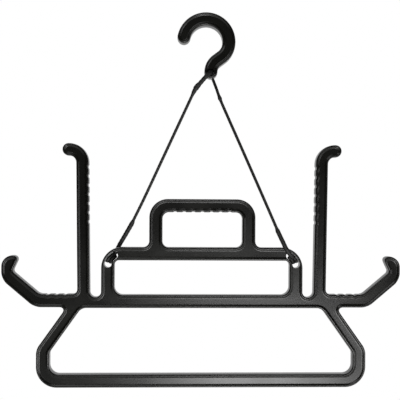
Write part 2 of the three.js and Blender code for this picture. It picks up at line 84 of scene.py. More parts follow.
# %% [markdown]
# ## The cord's route
# One braided cord runs from the left slot up through the hook's eye and down to the right slot.
# A curve object with a bevel would be quickest, but it is the same thickness and smooth all the way.
# So the route is a list of points, each with the cord's radius there, and the mesh is built along it.
# The legs are taut, because the whole hanger hangs on them. All numbers are millimetres.
# %% Points of the cord's route
CORD_ROUTE = [
    (-130.2, 5.7, -322.5, 2.9),
    (-129.3, 7.8, -321.4, 2.9),
    (-126.3, 10.0, -318.0, 3),
    (-123.3, 11.1, -313.0, 3),
    (-120.6, 11.1, -307.2, 3),
    (-119.0, 11.0, -304.4, 3),
    (-103.2, 8.1, -277.0, 3.1),
    (-99.8, 7.3, -270.0, 2),
    (-86.7, 4.3, -243.3, 2),
    (-54.2, -3.3, -173.3, 2),
    (-20.2, -11.4, -100.2, 2),
    (-16.6, -12.1, -92.6, 2.9),
    (-13.2, -12.7, -87.0, 3.7),
    (-8.3, -13.3, -81.4, 3),
    (-4.2, -13.9, -76.7, 2.9),
    (0.0, -13.9, -72.0, 2.9),
    (3.3, -12.4, -68.6, 2.9),
    (5.4, -8.4, -66.0, 3.2),
    (6.4, -3.0, -64.5, 3.5),
    (6.6, 3.0, -64.5, 3.5),
    (7.2, 8.4, -66.0, 3.1),
    (8.6, 11.4, -68.8, 2.3),
    (10.6, 12.8, -72.3, 2),
    (12.3, 12.5, -76.7, 2),
    (15.1, 11.8, -83.9, 2),
    (18.3, 10.9, -93.4, 2),
    (20.3, 10.4, -98.8, 2.7),
    (22.6, 9.9, -104.6, 2),
    (52.5, 2.4, -173.3, 2),
    (82.8, -5.1, -243.3, 2),
    (98.6, -8.8, -280.2, 2),
    (101.0, -9.3, -286.0, 3),
    (109.6, -11.0, -304.4, 3),
    (110.9, -11.1, -307.3, 3),
    (114.3, -11.1, -313.0, 3),
    (117.9, -10.0, -318.0, 2.9),
    (121.3, -7.9, -321.4, 2.9),
    (122.4, -5.8, -322.5, 2.9),
]
print("route points:", len(CORD_ROUTE))

# %% [markdown]
# ## A smooth line through the points
# A plain Catmull-Rom spline overshoots where points are unevenly spaced. Its centripetal form doesn't,
# so it is used here: each stretch is weighted by the square root of the distance between its points.
# The radius is blended with the position, because it is simply a fourth number.
# %% Smooth line
RING_SPACING = 0.45


def blend_point(before, start, end, after, share):
    """The point at share between start and end of a centripetal spline."""
    pairs = ((before, start), (start, end), (end, after))
    first, middle, last = [max((b.xyz - a.xyz).length ** 0.5, 1e-4) for a, b in pairs]
    leave = ((start - before) / first - (end - before) / (first + middle) + (end - start) / middle) * middle
    arrive = ((end - start) / middle - (after - start) / (middle + last) + (after - end) / last) * middle
    square, cube = share**2, share**3
    return (
        start * (2 * cube - 3 * square + 1)
        + leave * (cube - 2 * square + share)
        + end * (3 * square - 2 * cube)
        + arrive * (cube - square)
    )


def smooth_line(points, per_stretch=40):
    """A dense list of 4D points (x, y, z, radius) through the given ones."""
    knots = [Vector(p) for p in points]
    knots = [knots[0] * 2 - knots[1], *knots, knots[-1] * 2 - knots[-2]]
    for knot, end in ((knots[0], knots[1]), (knots[-1], knots[-2])):
        knot.w = end.w
    line = []
    for i in range(1, len(knots) - 2):
        for step in range(per_stretch):
            share = step / per_stretch
            point = blend_point(*knots[i - 1 : i + 3], share)
            eased = share * share * (3 - 2 * share)
            point.w = knots[i].w + (knots[i + 1].w - knots[i].w) * eased
            line.append(point)
    return [*line, knots[-2]]


def evenly_spaced(line, spacing):
    """The same line with its points one spacing apart, and the distance of each from its start."""
    lengths = [0.0]
    for a, b in zip(line, line[1:]):
        lengths.append(lengths[-1] + (b.xyz - a.xyz).length)
    count = max(2, round(lengths[-1] / spacing))
    spaced, at = [], 0
    for step in range(count + 1):
        wanted = lengths[-1] * step / count
        while at < len(line) - 2 and lengths[at + 1] < wanted:
            at += 1
        share = (wanted - lengths[at]) / max(lengths[at + 1] - lengths[at], 1e-9)
        spaced.append((line[at].lerp(line[at + 1], share), wanted))
    return spaced


cord_line = evenly_spaced(smooth_line(CORD_ROUTE), RING_SPACING)
print("cord length:", round(cord_line[-1][1]), "mm in", len(cord_line), "rings")

# %% [markdown]
# ## The braid
# The cord is an eight-strand plait: four strands wind one way round and four the other, each going over one
# and under the next. A bump map alone would leave the edge of the cord smooth, so the strands are real relief.
# The height at a point is that of the higher of the two strands there, and each strand is round across and
# waves up and down along its length as it crosses the others. A strand moves one lane round in 5.4 mm of cord.
# %% Braid relief
STRANDS = 4
STRAND_STEP = 5.4
SIDES = 32
STRAND_FILL = 1.9
CROWN_SHARE, WAVE_SHARE = 0.62, 0.38
BRAID_DEPTH = 0.17
MEAN_HEIGHT = 0.55


def braid_height(distance, around):
    """Height of the braid, from -1 to 1, at a distance in mm and a share of a turn round the cord."""
    one = STRANDS * around + distance / STRAND_STEP
    other = STRANDS * around - distance / STRAND_STEP
    heights = []
    for place, along, shift in ((one, other, 0), (other, one, 1)):
        lane = math.floor(place)
        offset = place - lane - 0.5
        crown = math.sqrt(max(0.0, 1 - (STRAND_FILL * offset) ** 2))
        wave = math.cos(math.pi * (along - 0.5 + lane + shift))
        heights.append(CROWN_SHARE * crown + WAVE_SHARE * wave)
    return max(heights)


def frames_along(points):
    """One matrix per point, carried along the line so that the section never twists suddenly."""
    matrices = []
    side = Vector((1, 0, 0))
    for i, point in enumerate(points):
        ahead = (points[min(i + 1, len(points) - 1)].xyz - points[max(i - 1, 0)].xyz).normalized()
        side = (side - ahead * side.dot(ahead)).normalized()
        up = ahead.cross(side)
        rotation = Matrix((side, up, ahead)).transposed().to_4x4()
        matrices.append(Matrix.Translation(point.xyz * MM) @ rotation)
    return matrices


cord_frames = frames_along([point for point, _ in cord_line])


def braided_tube(bm, line, frames):
    """Lays one braided tube along a line by pushing a circle on from ring to ring, and closes its two ends."""
    along = bm.verts.layers.float.get("along") or bm.verts.layers.float.new("along")
    turn = bm.verts.layers.float.get("turn") or bm.verts.layers.float.new("turn")
    ring = bmesh.ops.create_circle(bm, segments=SIDES, radius=1.0)["verts"]
    for i, vert in enumerate(ring):
        vert[turn] = i / SIDES
    edges = list({edge for vert in ring for edge in vert.link_edges})
    placed = Matrix.Identity(4)
    rings = []
    for i, ((point, distance), matrix) in enumerate(zip(line, frames)):
        if i:
            pushed = bmesh.ops.extrude_edge_only(bm, edges=edges)["geom"]
            ring = [item for item in pushed if isinstance(item, bmesh.types.BMVert)]
            edges = [item for item in pushed if isinstance(item, bmesh.types.BMEdge) and item.is_boundary]
            edges = [edge for edge in edges if set(edge.verts) <= set(ring)]
        wanted = matrix @ Matrix.Scale(point.w * MM, 4)
        bmesh.ops.transform(bm, matrix=wanted @ placed.inverted(), verts=ring)
        placed = wanted
        for vert in ring:
            vert[along] = distance
        rings.append((list(ring), matrix.translation.copy()))
    for ring, centre in rings:
        for vert in ring:
            height = braid_height(vert[along], vert[turn])
            vert.co = centre + (vert.co - centre) * (1 + BRAID_DEPTH * (height - MEAN_HEIGHT))
    for ring in (rings[0][0], rings[-1][0]):
        touching = [(vert, edge) for vert in ring for edge in vert.link_edges]
        ends = [edge for vert, edge in touching if edge.is_boundary and vert == edge.verts[0]]
        bmesh.ops.edgeloop_fill(bm, edges=ends)


# %% [markdown]
# ## Helpers for finished pieces
# Every piece ends the same way: its faces are turned outwards, it becomes an object at the origin, it is
# attached to the body it rides on, if any, and the plain solids it stands for are hidden.
# %% Finish a piece
def finish_piece(name, bm, body, solids):
    """Turns a bmesh into a shown piece of the hanger."""
    bmesh.ops.recalc_face_normals(bm, faces=bm.faces[:])
    mesh = bpy.data.meshes.new(name)
    bm.to_mesh(mesh)
    bm.free()
    piece = bpy.data.objects.new(name, mesh)
    bpy.context.scene.collection.objects.link(piece)
    mesh.shade_smooth()
    if body:
        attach(piece, body)
    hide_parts(*solids)
    print(name, len(mesh.polygons), "faces")
    return piece


def uv_from_layers(bm):
    """Writes the distance along the cord, in mm, and the share of a turn round it into a UV map."""
    along = bm.verts.layers.float["along"]
    turn = bm.verts.layers.float["turn"]
    uv = bm.loops.layers.uv.new("cord")
    for face in bm.faces:
        high = any(loop.vert[turn] > 0.75 for loop in face.loops)
        for loop in face.loops:
            share = loop.vert[turn]
            loop[uv].uv = (loop.vert[along], share + 1 if high and share < 0.25 else share)


# %% [markdown]
# ## The cord's stretches
# The cord bends at three places when the hanger moves: under the eye, and at each top corner of the frame.
# It is built in five stretches that meet there ring to ring. The legs twist gradually under the eye, and the
# feet bend gradually beside the frame, which is what real cord does.
# %% Cord stretches
def cord_stretch(name, first, last, body, solids):
    """The stretch of the cord between two distances in mm, as a closed braided mesh."""
    keep = [i for i, (_, distance) in enumerate(cord_line) if first <= distance <= last]
    bm = bmesh.new()
    braided_tube(bm, [cord_line[i] for i in keep], [cord_frames[i] for i in keep])
    uv_from_layers(bm)
    piece = finish_piece(name, bm, body, solids)
    path = [tuple(cord_line[i][0].xyz * MM) for i in keep]
    return piece, path, (cord_line[keep[-1]][1] - cord_line[keep[0]][1]) * MM


def distance_near(point):
    """The distance along the cord of the ring nearest to a point."""
    return min(cord_line, key=lambda ring: (ring[0].xyz - Vector(point)).length)[1]


# The four places where one stretch ends and the next starts
left_foot_end = distance_near((-103.2, 8.1, -277.0))
left_turn = distance_near((-4.2, -13.9, -76.7))
right_turn = distance_near((12.3, 12.5, -76.7))
right_foot_start = distance_near((99.5, -9.0, -282.4))
cord_end = cord_line[-1][1]

left_foot, left_foot_path, left_foot_length = cord_stretch(
    "left_cord_foot", 0, left_foot_end, None, ["cord_left_foot_splice", "cord_left_end"]
)
left_leg, left_leg_path, left_leg_length = cord_stretch(
    "left_cord_leg", left_foot_end, left_turn, None, ["cord_left_top_splice", "cord_left_span"]
)
eye_cord, eye_path, eye_length = cord_stretch(
    "eye_cord_turn", left_turn, right_turn, "eye_cord", ["cord_eye_turn", "cord_eye_drop"]
)
right_leg, right_leg_path, right_leg_length = cord_stretch(
    "right_cord_leg", right_turn, right_foot_start, None,
    ["cord_right_top_span", "cord_right_tail", "cord_right_span"],
)
right_foot, right_foot_path, right_foot_length = cord_stretch(
    "right_cord_foot", right_foot_start, cord_end, None, ["cord_right_foot_splice", "cord_right_end"]
)
for leg in (left_leg, right_leg):
    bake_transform(leg, "eye_cord", "bridle", start=(0.0068, 0, -0.0767), end=(0.0068, 0, -0.105))
for foot, side in ((left_foot, -0.119), (right_foot, 0.1096)):
    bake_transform(foot, "bridle", "frame_body", start=(side, 0, -0.2995), end=(side, 0, -0.3095))

# %% [markdown]
# ## Knotted ends in the slots
# In each slot the cord ends in two short stretches that lie side by side and are cut off bluntly. They jam in
# the slot, so the cord can't slip back. Both are laid along the slot's own curve.
# %% Cord ends in the slots
# The frame's middle plane lies 3.9 mm left of the hook's seat; each slot bends round its corner's centre.
ASIDE = -3.9
CORNER = (111.6, -337.9)
SLOT_RADIUS = 20.4
END_OFFSET = 2.42


def slot_point(side, angle, off, y, radius):
    """A point in a slot: side is 1 on the right, and off is measured outwards from the slot's middle."""
    reach = SLOT_RADIUS + off
    x = side * (CORNER[0] + reach * math.cos(math.radians(angle))) + ASIDE
    return (x, y, CORNER[1] + reach * math.sin(math.radians(angle)), radius)


def stopper(name, side, depths, solid):
    """Two blunt braided ends side by side; depths are y at the top, in the middle and at the cut."""
    bm = bmesh.new()
    for off, top in ((END_OFFSET, 62), (-END_OFFSET, 60)):
        points = [
            slot_point(side, top, off, depths[0], 2.1),
            slot_point(side, 52, off, depths[1], 2.4),
            slot_point(side, 36, off, depths[2], 2.4),
            slot_point(side, 21.5, off, depths[2], 2.35),
            slot_point(side, 19.5, off, depths[2], 1.9),
        ]
        line = evenly_spaced(smooth_line(points), RING_SPACING)
        braided_tube(bm, line, frames_along([point for point, _ in line]))
    uv_from_layers(bm)
    return finish_piece(name, bm, "frame_body", [solid])


left_stopper = stopper("left_cord_ends", -1, (4.0, 1.5, -1.5), "left_stopper_knot")
right_stopper = stopper("right_cord_ends", 1, (-4.0, -3.2, -1.5), "right_stopper_knot")

# %% [markdown]
# ## The moulded section
# Frame and hook are moulded with the same section: walls that lean a little so that the part leaves its
# mould, a rounded rim along every edge, and a shallow channel between the rims. The section could be swept
# along paths, but the bars branch and merge. Insetting the flat outline step by step gives the same section
# everywhere and lets the rims run round every corner, as on the real moulding. Each step of the rim is given as
# its distance in from the edge and its drop below the crest.
# %% Section and outline helpers
FRAME_THICKNESS = 15.0
HOOK_THICKNESS = 17.0
MERGE_DISTANCE = 0.08
RIM_STEPS = [
    (0.15, 2.6), (0.3, 1.55), (0.62, 0.75), (1.1, 0.28), (1.7, 0.04), (2.3, 0.0), (2.85, 0.12),
    (3.4, 0.5), (3.9, 1.0), (4.35, 1.38), (4.9, 1.56), (5.5, 1.6),
]
ARC_ERROR = 0.02


def arc_steps(radius, turn):
    """How many straight steps keep an arc within the allowed error."""
    return max(3, math.ceil(turn / (2 * math.acos(1 - ARC_ERROR / radius))))


def rounded_face(bm, corners):
    """One flat face through corners (x, z, radius) in mm, with each corner rounded."""
    verts = [bm.verts.new((x * MM, 0, z * MM)) for x, z, _ in corners]
    bm.faces.new(verts)
    for i, vert in enumerate(verts):
        x, z, radius = corners[i]
        if not radius:
            continue
        last, following = corners[i - 1], corners[(i + 1) % len(corners)]
        before = Vector((last[0] - x, last[1] - z))
        after = Vector((following[0] - x, following[1] - z))
        turn = math.pi - before.angle(after)
        bmesh.ops.bevel(
            bm, geom=[vert], offset=radius * math.tan(turn / 2) * MM, offset_type="OFFSET",
            segments=arc_steps(radius, turn), profile=0.5, affect="VERTICES", material=-1,
        )


def fill_flat(bm, edges):
    """Fills the area between closed loops of edges with triangles that face the front."""
    rim = {vert for edge in edges for vert in edge.verts}
    bmesh.ops.remove_doubles(bm, verts=[vert for vert in bm.verts if vert in rim], dist=MERGE_DISTANCE * MM)
    rim = {vert for vert in rim if vert.is_valid}
    edges = [edge for edge in bm.edges if set(edge.verts) <= rim and not edge.is_manifold]
    made = bmesh.ops.triangle_fill(bm, use_beauty=True, use_dissolve=False, edges=edges, normal=(0, -1, 0))
    faces = [item for item in made["geom"] if isinstance(item, bmesh.types.BMFace)]
    for face in faces:
        face.normal_update()
        if face.normal.y > 0:
            face.normal_flip()
        face.normal = (0, -1, 0)
    return faces


def rim_edges(faces):
    """The edges round a region: those that belong to one of its faces only."""
    counts = {}
    for face in faces:
        for edge in face.edges:
            counts[edge] = counts.get(edge, 0) + 1
    return [edge for edge, count in counts.items() if count == 1]


def check_closed(name, bm):
    """Stops the script if a mesh that a Boolean needs closed has an open or a shared edge."""
    open_edges = sum(not edge.is_manifold for edge in bm.edges)
    if open_edges:
        raise ValueError(f"{name} has {open_edges} open edges")


def raise_section(bm, half_thickness):
    """Raises a flat outline to one half of the moulded section and mirrors it to make the other half.

    Where the outline has holes, the flat area is filled anew after every step, because insetting the same
    thin triangles again and again would cross their edges."""
    has_holes = len(bm.faces) > 1
    if has_holes:
        bmesh.ops.delete(bm, geom=bm.faces[:], context="FACES_ONLY")
        fill_flat(bm, bm.edges[:])
    elif bm.faces[:][0].normal.y > 0:
        bmesh.ops.reverse_faces(bm, faces=bm.faces[:])
    region = bm.faces[:]
    inset, height = 0.0, 0.0
    for next_inset, drop in RIM_STEPS:
        bmesh.ops.inset_region(
            bm, faces=region, thickness=(next_inset - inset) * MM, depth=0, use_boundary=True,
            use_even_offset=True,
        )
        next_height = half_thickness - drop
        lifted = list({vert for face in region for vert in face.verts})
        bmesh.ops.translate(bm, verts=lifted, vec=(0, (height - next_height) * MM, 0))
        inset, height = next_inset, next_height
        if has_holes:
            rim = rim_edges(region)
            bmesh.ops.delete(bm, geom=region, context="FACES")
            region = fill_flat(bm, rim)
    bmesh.ops.mirror(
        bm, geom=bm.verts[:] + bm.edges[:] + bm.faces[:], matrix=Matrix.Identity(4), merge_dist=1e-6, axis="Y",
    )


# %% [markdown]
# ## The frame's outline
# Half of the outline is listed, and the other half is its mirror image. Each corner is x, z and the radius
# of its rounding. Each grip notch is a shallow trapezoid of four points in an otherwise straight edge.
# %% Frame outline
POST_FOOT_X, POST_FOOT_Z, POST_LEAN = 155.8, -378.4, 0.73
HANDLE_GRIP_Z = -260.3
ARM_TOP_Z = -374.2
NOTCH_PITCH = 12.7
ARM_NOTCH_PITCH = 11.9
POST_NOTCHES = [-197.9 - NOTCH_PITCH * i for i in range(7)]
ARM_NOTCHES = [190.3 + ARM_NOTCH_PITCH * i for i in range(3)]
HANDLE_NOTCHES = [NOTCH_PITCH * i for i in range(-3, 4)]


def notch(x, z, along, inward):
    """Four points of one grip notch centred at (x, z), cut 1 mm deep."""
    return [
        (x + along[0] * s + inward[0] * d, z + along[1] * s + inward[1] * d, 0)
        for s, d in ((-2.9, 0), (-1.2, 1), (1.2, 1), (2.9, 0))
    ]


def post_inner(z):
    """The x of the post's inner side at a height; it leans outwards by less than a degree."""
    return POST_FOOT_X + (z - POST_FOOT_Z) * math.tan(math.radians(POST_LEAN))


post_grip = [p for z in reversed(POST_NOTCHES) for p in notch(post_inner(z), z, (0.01274, 1), (1, 0))]
arm_grip = [p for x in ARM_NOTCHES for p in notch(x, ARM_TOP_Z, (1, 0), (0, -1))]
handle_grip = [p for x in HANDLE_NOTCHES for p in notch(x, HANDLE_GRIP_Z, (1, 0), (0, 1))]
HALF_OUTLINE = [
    (74.2, -241.7, 26), (74.2, -308.9, 8.4), (140.6, -308.9, 29), (140.6, POST_FOOT_Z, 7.5),
    (POST_FOOT_X, POST_FOOT_Z, 7.5),
    *post_grip,
    (158.52, -164.9, 27.2), (194.72, -164.9, 8.6), (194.72, -182.3, 8.6), (175.8, -182.3, 9.8),
    (173.35, ARM_TOP_Z, 6.5),
    *arm_grip,
    (225.4, ARM_TOP_Z, 12), (262.67, -342.7, 4.5), (252.5, -320.9, 6.3), (278, -320.9, 15.3), (278, -354.1, 22),
    (232.2, -392.8, 24), (188.4, -392.8, 4.9), (229.8, -451.1, 20), (229.8, -504.2, 29),
]
HANDLE_HALF = [(55.6, HANDLE_GRIP_Z, 9), (55.6, -308.9, 8.4)]
UPPER_HALF = [(122, -327.5, 6.3), (122, -375.2, 11.5)]
LOWER_HALF = [(167.52, -393.8, 12.7), (211.2, -455.31, 8), (211.2, -485.6, 13)]


def both_halves(half, middle=()):
    """Closes a half outline with its mirror image and moves it from the frame's middle plane into place."""
    mirrored = [(-x, z, radius) for x, z, radius in reversed(half)]
    return [(x + ASIDE, z, radius) for x, z, radius in [*mirrored, *middle, *half]]


# %% [markdown]
# ## Slots in the frame's top corners
# The slots are cut through with a Boolean modifier. Its cutter is a band that is spun round the corner's
# centre and rounded at its ends. The same two steps, spin and extend, later make the hook.
# %% Bands
SLOT_WIDTH = 10.3
SLOT_ANGLES = (15.5, 58.0)
CUTTER_DEPTH = 24.0
ROUNDING_SHARE = 0.999  # just under a full half circle, so that two roundings don't meet in one vertex


def spin_edge(bm, edge, centre, degrees, steps):
    """Sweeps an edge round a centre (x, z) in mm and returns the last edge; positive turns clockwise."""
    made = bmesh.ops.spin(
        bm, geom=[edge, *edge.verts], cent=(centre[0] * MM, 0, centre[1] * MM), axis=(0, 1, 0),
        angle=math.radians(degrees), steps=steps, use_merge=False, use_normal_flip=False, use_duplicate=False,
    )
    return next(item for item in made["geom_last"] if isinstance(item, bmesh.types.BMEdge))


def push_edge(bm, edge, shift):
    """Extrudes an edge straight by a shift (x, z) in mm and returns the new edge."""
    made = bmesh.ops.extrude_edge_only(bm, edges=[edge])["geom"]
    verts = [item for item in made if isinstance(item, bmesh.types.BMVert)]
    bmesh.ops.translate(bm, verts=verts, vec=(shift[0] * MM, 0, shift[1] * MM))
    new_edges = [item for item in made if isinstance(item, bmesh.types.BMEdge)]
    return next(item for item in new_edges if set(item.verts) == set(verts))


def round_band_ends(bm, ends, width):
    """Joins a band of faces into one and rounds the corners of its two end edges into half circles."""
    corners = [vert for edge in ends for vert in edge.verts]
    bmesh.ops.dissolve_faces(bm, faces=bm.faces[:])
    bm.normal_update()
    for vert in corners:
        bmesh.ops.bevel(
            bm, geom=[vert], offset=width / 2 * ROUNDING_SHARE * MM, offset_type="OFFSET",
            segments=arc_steps(width / 2, math.pi / 2), profile=0.5, affect="VERTICES", material=-1,
        )
    bmesh.ops.remove_doubles(bm, verts=bm.verts[:], dist=MERGE_DISTANCE * MM)


def slot_cutter(side):
    """A tall band along one slot; side is 1 on the right."""
    start, end = (math.radians(angle) for angle in SLOT_ANGLES)
    half = SLOT_WIDTH / 2
    centre = (side * CORNER[0] + ASIDE, CORNER[1])
    bm = bmesh.new()
    ends = []
    for reach in (SLOT_RADIUS - half, SLOT_RADIUS + half):
        place = (centre[0] + side * reach * math.cos(start), centre[1] + reach * math.sin(start))
        ends.append(bm.verts.new((place[0] * MM, 0, place[1] * MM)))
    first = bm.edges.new(ends)
    last = spin_edge(bm, first, centre, -side * (SLOT_ANGLES[1] - SLOT_ANGLES[0]), 16)
    low = push_edge(bm, first, (side * half * math.sin(start), -half * math.cos(start)))
    high = push_edge(bm, last, (-side * half * math.sin(end), half * math.cos(end)))
    round_band_ends(bm, (low, high), SLOT_WIDTH)
    made = bmesh.ops.extrude_face_region(bm, geom=bm.faces[:])["geom"]
    far_side = [item for item in made if isinstance(item, bmesh.types.BMVert)]
    bmesh.ops.translate(bm, verts=far_side, vec=(0, CUTTER_DEPTH * MM, 0))
    bmesh.ops.translate(bm, verts=bm.verts[:], vec=(0, -CUTTER_DEPTH / 2 * MM, 0))
    return bm


def cut_through(piece, cutter_bm):
    """Cuts a shape out of a piece with a Boolean modifier, then removes the cutter."""
    bmesh.ops.recalc_face_normals(cutter_bm, faces=cutter_bm.faces[:])
    mesh = bpy.data.meshes.new("cutter")
    cutter_bm.to_mesh(mesh)
    cutter_bm.free()
    cutter = bpy.data.objects.new("cutter", mesh)
    bpy.context.scene.collection.objects.link(cutter)
    modifier = piece.modifiers.new("cut", "BOOLEAN")
    modifier.operation = "DIFFERENCE"
    modifier.solver = "MANIFOLD"
    modifier.object = cutter
    bpy.context.view_layer.update()
    cut = bpy.data.meshes.new_from_object(piece.evaluated_get(bpy.context.evaluated_depsgraph_get()))
    piece.modifiers.remove(modifier)
    piece.data = cut
    bpy.data.objects.remove(cutter)


def soften_edges(piece, angle=38):
    """Marks edges sharper than the angle and weights the normals, so that flats stay flat."""
    mesh = piece.data
    mesh.shade_smooth()
    mesh.set_sharp_from_angle(angle=math.radians(angle))
    weighted = piece.modifiers.new("weighted_normals", "WEIGHTED_NORMAL")
    weighted.keep_sharp = True
    weighted.weight = 80


# %% Frame moulding
frame_bm = bmesh.new()
rounded_face(frame_bm, both_halves(HALF_OUTLINE))
rounded_face(frame_bm, both_halves(HANDLE_HALF, handle_grip))
rounded_face(frame_bm, both_halves(UPPER_HALF))
rounded_face(frame_bm, both_halves(LOWER_HALF))
raise_section(frame_bm, FRAME_THICKNESS / 2)
check_closed("frame", frame_bm)
frame_moulding = finish_piece("frame", frame_bm, "frame_body", ["frame_moulding"])
for side in (-1, 1):
    cut_through(frame_moulding, slot_cutter(side))
soften_edges(frame_moulding)
print("frame faces after the slots:", len(frame_moulding.data.polygons))

# %% [markdown]
# ## The hook
# The hook is one band: a wide arch, a tighter curve into the neck, a short straight and a bend down to the eye.
# The eye is a round hole with mouths that open out, so that the cord isn't cut by an edge.
# %% Hook
HOOK_WIDTH = 18.5
OPEN_END_ANGLE = 168
ARCH_RADIUS, ARCH_TURN = 31.7, 176
NECK_RADIUS, NECK_TURN = 25, 45
NECK_LENGTH = 8.9
FOOT_RADIUS = 19.6
EYE = (6.77, -64.36)
EYE_PROFILE = [(0, -14), (5.6, -14), (5.3, -9.0), (4.5, -7.4), (4.0, -6.6), (3.7, -5.8), (3.6, -5.0)]


def hook_band(bm):
    """Sweeps the hook's band from its open end to the eye."""
    half = HOOK_WIDTH / 2
    centre = Vector((0, half - ARCH_RADIUS))
    start = Vector((math.cos(math.radians(OPEN_END_ANGLE)), math.sin(math.radians(OPEN_END_ANGLE))))
    ends = [centre + start * (ARCH_RADIUS + shift) for shift in (-half, half)]
    first = bm.edges.new([bm.verts.new((p.x * MM, 0, p.y * MM)) for p in ends])
    edge = spin_edge(bm, first, centre, ARCH_TURN, 50)
    arch_end = math.radians(OPEN_END_ANGLE - ARCH_TURN)
    quarter = centre + Vector((math.cos(arch_end), math.sin(arch_end))) * (ARCH_RADIUS - NECK_RADIUS)
    edge = spin_edge(bm, edge, quarter, NECK_TURN, 12)
    lean_degrees = NECK_TURN + ARCH_TURN - OPEN_END_ANGLE
    lean = math.radians(lean_degrees)
    down = Vector((-math.sin(lean), -math.cos(lean)))
    left = Vector((math.cos(lean), -math.sin(lean)))
    edge = push_edge(bm, edge, down * NECK_LENGTH)
    bend = quarter + left * NECK_RADIUS + down * NECK_LENGTH + left * FOOT_RADIUS
    edge = spin_edge(bm, edge, bend, -lean_degrees, 14)
    last = push_edge(bm, edge, (0, -half))
    first = push_edge(bm, first, (-start.y * half, start.x * half))
    round_band_ends(bm, (first, last), HOOK_WIDTH)


def eye_cutter():
    """A spool that widens towards both faces, made by spinning its profile round the eye's axis."""
    bm = bmesh.new()
    profile = EYE_PROFILE + [(r, -y) for r, y in reversed(EYE_PROFILE)]
    verts = [bm.verts.new(((EYE[0] + r) * MM, y * MM, EYE[1] * MM)) for r, y in profile]
    edges = [bm.edges.new(pair) for pair in zip(verts, verts[1:])]
    bmesh.ops.spin(
        bm, geom=verts + edges, cent=(EYE[0] * MM, 0, EYE[1] * MM), axis=(0, 1, 0), angle=2 * math.pi,
        steps=48, use_merge=True, use_normal_flip=False, use_duplicate=False,
    )
    bmesh.ops.remove_doubles(bm, verts=bm.verts[:], dist=1e-6)
    return bm


hook_bm = bmesh.new()
hook_band(hook_bm)
raise_section(hook_bm, HOOK_THICKNESS / 2)
check_closed("hook", hook_bm)
hook = finish_piece("hook_moulding", hook_bm, "hook_body", ["hook"])
cut_through(hook, eye_cutter())
soften_edges(hook)
print("hook faces:", len(hook.data.polygons))

# %% [markdown]
# ## Finishes
# Colours are written as the hex values that a paint program shows, and one function turns them to linear.
# One more function adds a node with its settings and links, so that each material reads as a list.
# %% Material helpers
def colour(hex_value):
    """An sRGB hex colour as linear red, green, blue and alpha."""
    parts = [int(hex_value[i : i + 2], 16) / 255 for i in (1, 3, 5)]
    return (*[p / 12.92 if p <= 0.04045 else ((p + 0.055) / 1.055) ** 2.4 for p in parts], 1.0)


def add_node(tree, kind, inputs=(), **settings):
    """Adds a node; inputs are pairs of socket and value, and a value may be another node's output."""
    node = tree.nodes.new(kind)
    for key, value in settings.items():
        setattr(node, key, value)
    for socket, value in inputs:
        if isinstance(value, bpy.types.NodeSocket):
            tree.links.new(value, node.inputs[socket])
        else:
            node.inputs[socket].default_value = value
    return node


def new_material(name):
    """An empty material and its node tree with an output."""
    made = bpy.data.materials.new(name)
    made.use_nodes = True
    made.node_tree.nodes.clear()
    return made, made.node_tree, made.node_tree.nodes.new("ShaderNodeOutputMaterial")


def tone_ramp(tree, value, dark, light):
    """Mixes two colours by a value; dark and light are pairs of ramp position and hex colour."""
    ramp = add_node(tree, "ShaderNodeValToRGB", [("Fac", value)])
    for element, (position, hex_value) in zip(ramp.color_ramp.elements, (dark, light)):
        element.position = position
        element.color = colour(hex_value)
    return ramp.outputs["Color"]


def give_finish(pieces, material):
    """Puts one material on several pieces."""
    for piece in pieces:
        piece.data.materials.clear()
        piece.data.materials.append(material)
    print(material.name, "on", len(pieces), "pieces")


# %% [markdown]
# ### Moulded plastic
# Black polyamide filled with short glass fibres is stiff enough for such thin bars, so it is taken here. A
# mould of spark-eroded steel leaves a fine grain, which makes the gloss broad and soft. Handling polishes it
# unevenly, so the tone and the sheen drift together over a few centimetres.
# %% Plastic
def moulded_plastic():
    """Satin black plastic: a slow drift of tone and sheen, and a fine grain of about 0.7 mm."""
    made, tree, output = new_material("glass_filled_polyamide")
    place = add_node(tree, "ShaderNodeTexCoord").outputs["Object"]
    flow = add_node(
        tree, "ShaderNodeTexNoise",
        [("Vector", place), ("Scale", 16.0), ("Detail", 4.0), ("Roughness", 0.55)],
    )
    tone = tone_ramp(tree, flow.outputs["Fac"], (0.3, "#0b0b09"), (0.7, "#11110d"))
    sheen = add_node(
        tree, "ShaderNodeMapRange",
        [("Value", flow.outputs["Fac"]), ("From Min", 0.3), ("From Max", 0.7),
         ("To Min", 0.25), ("To Max", 0.31)],
    )
    grain = add_node(
        tree, "ShaderNodeTexNoise",
        [("Vector", place), ("Scale", 1400.0), ("Detail", 2.0), ("Roughness", 0.5)],
    )
    bump = add_node(
        tree, "ShaderNodeBump", [("Strength", 0.04), ("Distance", 0.00003), ("Height", grain.outputs["Fac"])]
    )
    shader = add_node(
        tree, "ShaderNodeBsdfPrincipled",
        [("Base Color", tone), ("Roughness", sheen.outputs["Result"]), ("IOR", 1.53),
         ("Normal", bump.outputs["Normal"])],
    )
    tree.links.new(shader.outputs["BSDF"], output.inputs["Surface"])
    return made


give_finish((frame_moulding, hook), moulded_plastic())
